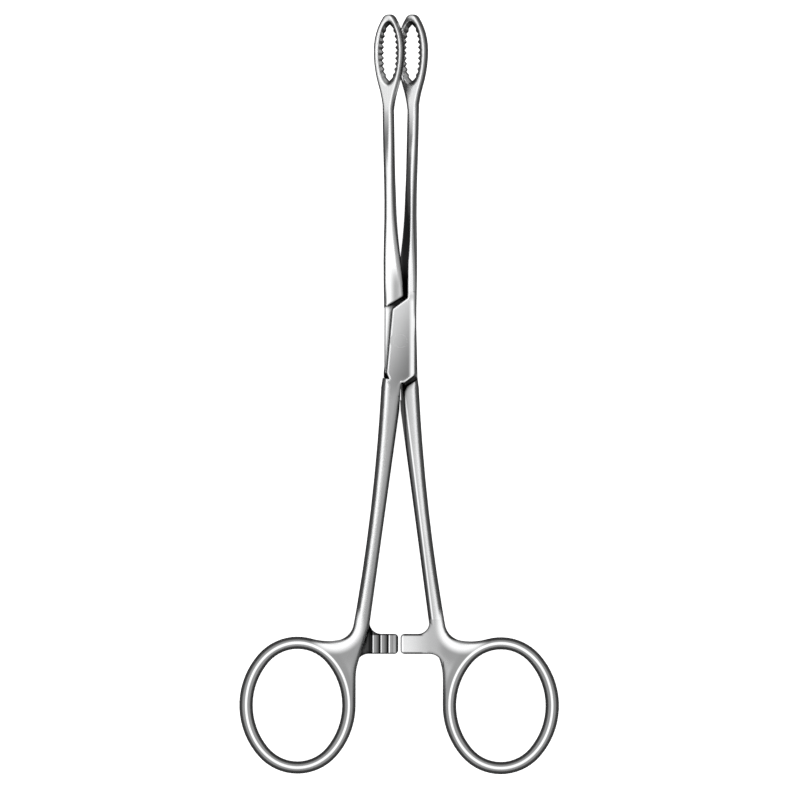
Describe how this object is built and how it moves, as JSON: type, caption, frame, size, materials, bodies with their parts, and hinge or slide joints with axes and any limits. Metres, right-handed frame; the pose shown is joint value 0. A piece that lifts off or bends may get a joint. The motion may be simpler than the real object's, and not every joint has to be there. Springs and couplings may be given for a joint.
{
  "type": "sponge forceps",
  "caption": "Straight sponge holding forceps with windowed serrated jaws, box lock, ratchet and finger rings, hinged about the lock pin.",
  "frame": {"origin": "on the pivot axis of the box lock, at the lock's flat underside", "axes": "+Y along the instrument towards the jaws, +Z along the pivot away from the surface it lies on, +X to the side of the tenon half's finger ring"},
  "size_m": [0.0756, 0.1799, 0.007],
  "materials": {
    "satin_steel": "satin",
    "polished_steel": "polished"
  },
  "bodies": {
    "box_side": {"box_half": "satin_steel", "lock_pin": "polished_steel"},
    "tenon_side": {"tenon_half": "satin_steel"}
  },
  "joints": [
    {"name": "lock_pivot", "type": "hinge", "parent": "box_side", "child": "tenon_side", "pos_m": [0, 0, 0.0028], "axis": [0, 0, 1], "range_deg": [-4.1, 45]}
  ]
}
